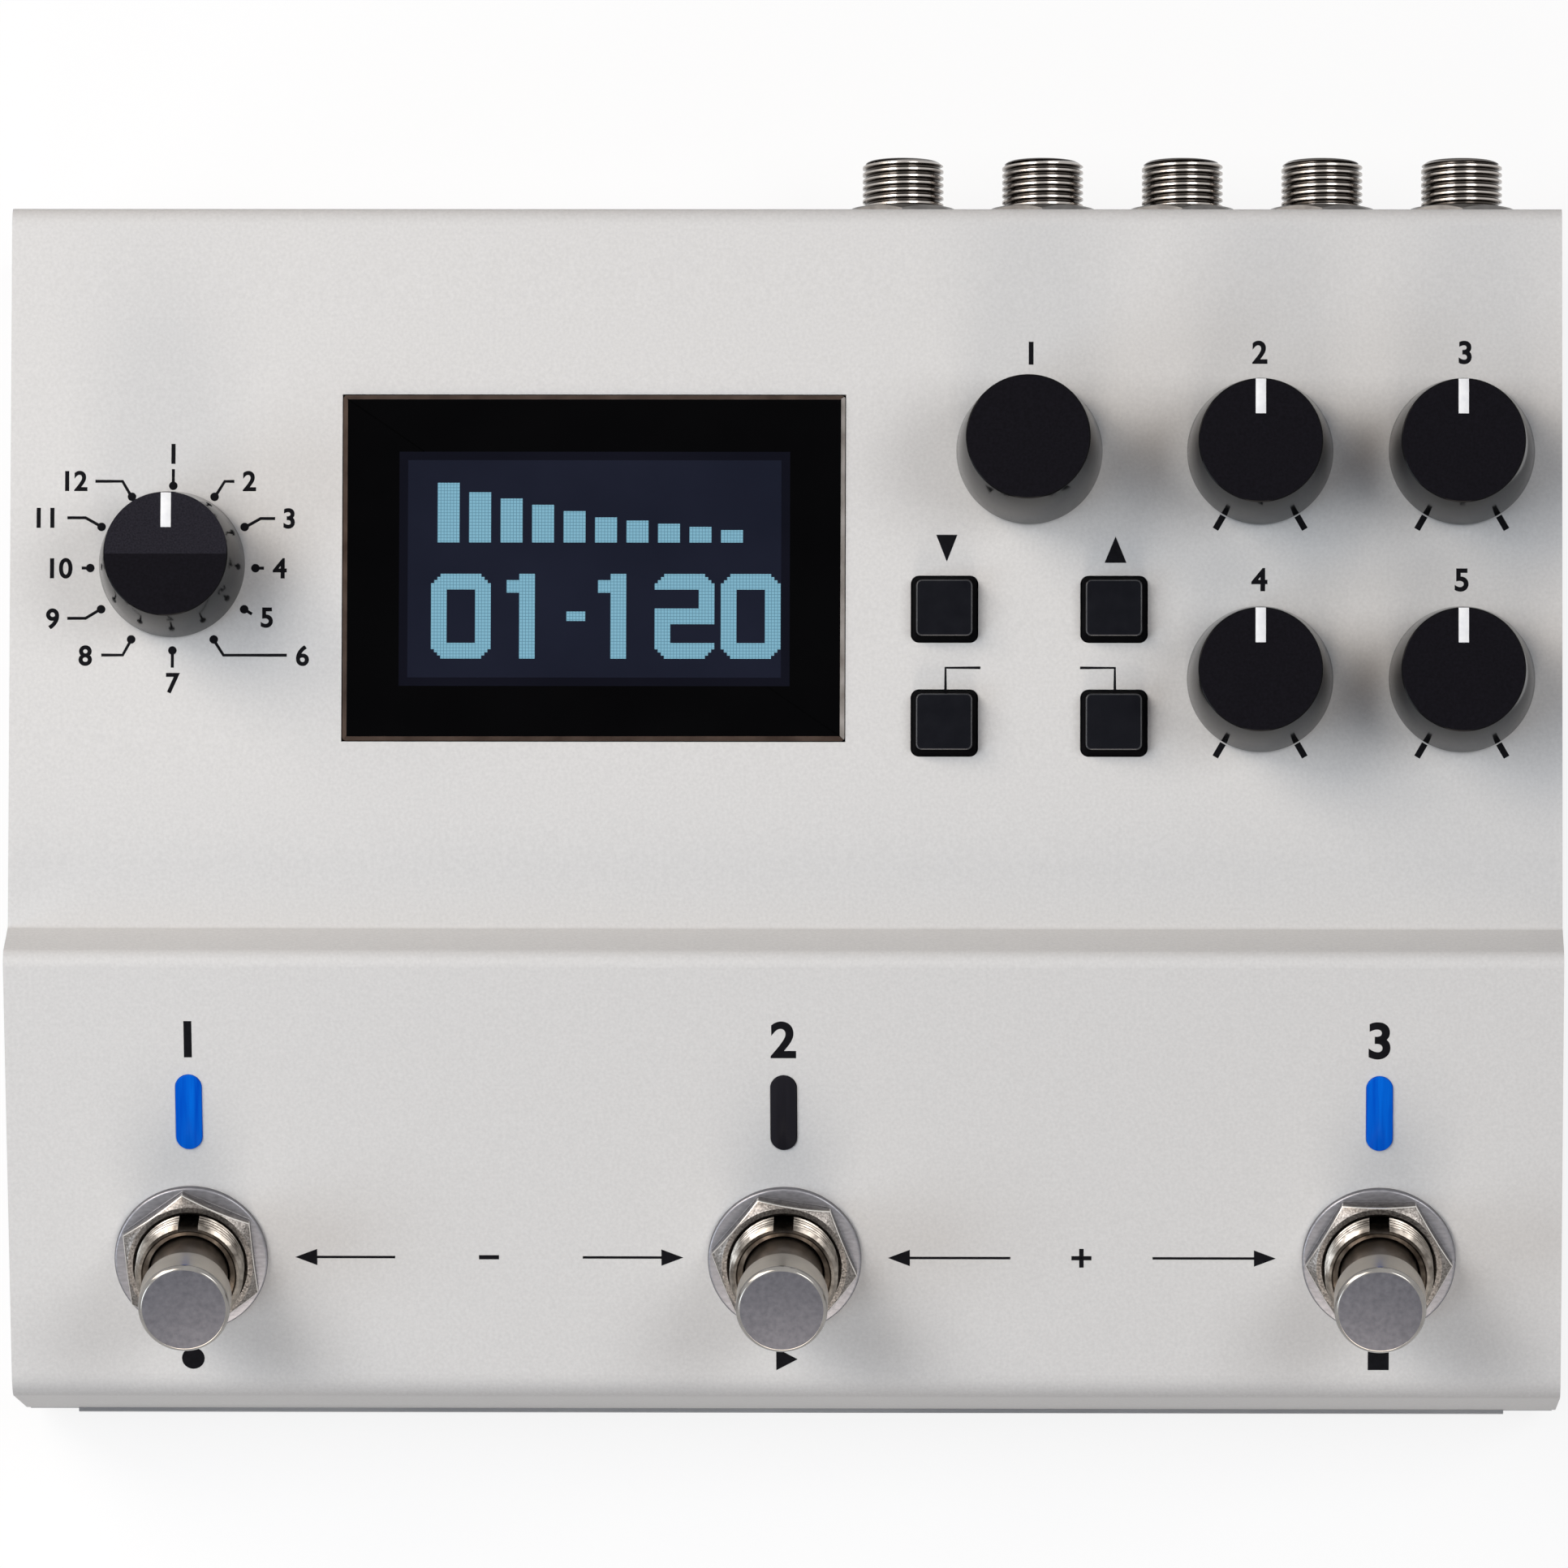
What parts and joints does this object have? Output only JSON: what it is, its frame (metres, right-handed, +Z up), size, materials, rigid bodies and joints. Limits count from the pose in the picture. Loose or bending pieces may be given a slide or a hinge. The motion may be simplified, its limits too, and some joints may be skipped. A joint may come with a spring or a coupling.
{
  "type": "digital delay pedal",
  "caption": "Floor delay pedal in a bent-sheet case: sloping foot panel with sprung foot switches, upper panel with display, keys and knobs, sockets at the rear.",
  "frame": {"origin": "centre of the footprint, on the floor under the feet", "axes": "+X to the player's right along the width, +Y to the rear sockets, +Z up"},
  "size_m": [0.17, 0.138, 0.062],
  "materials": {
    "pearl_paint": "satin",
    "base_paint": "satin",
    "nickel": "polished",
    "steel": "brushed",
    "zinc": "satin",
    "rubber": "matte",
    "glazing": "gloss",
    "screen": "satin",
    "knob": "gloss",
    "key": "matte",
    "moulding": "matte",
    "silicone": "matte",
    "lamp": "gloss",
    "board": "satin",
    "brass": "plain"
  },
  "bodies": {
    "case": {"top_cover": "pearl_paint", "bottom_chassis": "base_paint", "base_screws": "zinc", "rubber_feet": "rubber", "display_window": "glazing", "display_module": "screen", "mode_switch": "moulding", "time_encoder": "moulding", "pot_bodies": "moulding", "control_nuts": "nickel", "tact_switches": "moulding", "switch_domes": "silicone", "footswitch_bushes": "nickel", "footswitch_washers": "nickel", "footswitch_nuts": "nickel", "footswitch_housings": "moulding", "lamp_windows": "lamp", "lamps": "lamp", "lamp_board": "board", "panel_board": "board", "panel_posts": "zinc", "main_board": "board", "main_posts": "zinc", "board_screws": "zinc", "ribbon_plugs": "moulding", "ribbon_cable": "moulding", "jack_barrels": "nickel", "jack_bodies": "moulding", "jack_washers": "nickel", "jack_nuts": "nickel", "midi_sockets": "moulding", "usb_port": "zinc", "power_socket": "moulding", "battery_box": "moulding", "battery_contacts": "zinc", "left_foot_spring": "zinc", "centre_foot_spring": "zinc", "right_foot_spring": "zinc"},
    "mode_dial": {"mode_knob": "knob", "mode_shaft": "brass"},
    "time_dial": {"time_knob": "knob", "time_shaft": "brass"},
    "feedback_dial": {"feedback_knob": "knob", "feedback_shaft": "brass"},
    "level_dial": {"level_knob": "knob", "level_shaft": "brass"},
    "tone_dial": {"tone_knob": "knob", "tone_shaft": "brass"},
    "depth_dial": {"depth_knob": "knob", "depth_shaft": "brass"},
    "down_key": {"down_button": "key"},
    "up_key": {"up_button": "key"},
    "exit_key": {"exit_button": "key"},
    "edit_key": {"edit_button": "key"},
    "left_plunger": {"left_foot_button": "steel"},
    "centre_plunger": {"centre_foot_button": "steel"},
    "right_plunger": {"right_foot_button": "steel"},
    "door": {"battery_door": "moulding"}
  },
  "joints": [
    {"name": "mode_turn", "type": "hinge", "parent": "case", "child": "mode_dial", "pos_m": [-0.0672, 0.02102, 0.0441], "axis": [0, -0.0277, 0.9996], "continuous": true},
    {"name": "time_turn", "type": "hinge", "parent": "case", "child": "time_dial", "pos_m": [0.0267, 0.03351, 0.04445], "axis": [0, -0.0277, 0.9996], "continuous": true},
    {"name": "feedback_turn", "type": "hinge", "parent": "case", "child": "feedback_dial", "pos_m": [0.05195, 0.03351, 0.04445], "axis": [0, -0.0277, 0.9996], "range_deg": [-150, 150]},
    {"name": "level_turn", "type": "hinge", "parent": "case", "child": "level_dial", "pos_m": [0.074, 0.03351, 0.04445], "axis": [0, -0.0277, 0.9996], "range_deg": [-150, 150]},
    {"name": "tone_turn", "type": "hinge", "parent": "case", "child": "tone_dial", "pos_m": [0.05195, 0.00852, 0.04376], "axis": [0, -0.0277, 0.9996], "range_deg": [-150, 150]},
    {"name": "depth_turn", "type": "hinge", "parent": "case", "child": "depth_dial", "pos_m": [0.074, 0.00852, 0.04376], "axis": [0, -0.0277, 0.9996], "range_deg": [-150, 150]},
    {"name": "down_press", "type": "slide", "parent": "case", "child": "down_key", "axis": [0, 0.0277, -0.9996], "range_m": [0, 0.0005], "stiffness_N_per_m": 800, "springref_m": -0.0015, "deforming": ["switch_domes"]},
    {"name": "up_press", "type": "slide", "parent": "case", "child": "up_key", "axis": [0, 0.0277, -0.9996], "range_m": [0, 0.0005], "stiffness_N_per_m": 800, "springref_m": -0.0015, "deforming": ["switch_domes"]},
    {"name": "exit_press", "type": "slide", "parent": "case", "child": "exit_key", "axis": [0, 0.0277, -0.9996], "range_m": [0, 0.0005], "stiffness_N_per_m": 800, "springref_m": -0.0015, "deforming": ["switch_domes"]},
    {"name": "edit_press", "type": "slide", "parent": "case", "child": "edit_key", "axis": [0, 0.0277, -0.9996], "range_m": [0, 0.0005], "stiffness_N_per_m": 800, "springref_m": -0.0015, "deforming": ["switch_domes"]},
    {"name": "left_foot_press", "type": "slide", "parent": "case", "child": "left_plunger", "axis": [0, 0.4259, -0.9048], "range_m": [0, 0.0025], "stiffness_N_per_m": 1700, "springref_m": -0.003, "deforming": ["left_foot_spring"]},
    {"name": "centre_foot_press", "type": "slide", "parent": "case", "child": "centre_plunger", "axis": [0, 0.4259, -0.9048], "range_m": [0, 0.0025], "stiffness_N_per_m": 1700, "springref_m": -0.003, "deforming": ["centre_foot_spring"]},
    {"name": "right_foot_press", "type": "slide", "parent": "case", "child": "right_plunger", "axis": [0, 0.4259, -0.9048], "range_m": [0, 0.0025], "stiffness_N_per_m": 1700, "springref_m": -0.003, "deforming": ["right_foot_spring"]},
    {"name": "door_hinge", "type": "hinge", "parent": "case", "child": "door", "pos_m": [0, -0.03239, 0.0039], "axis": [-1, 0, 0], "range_deg": [0, 90]}
  ]
}
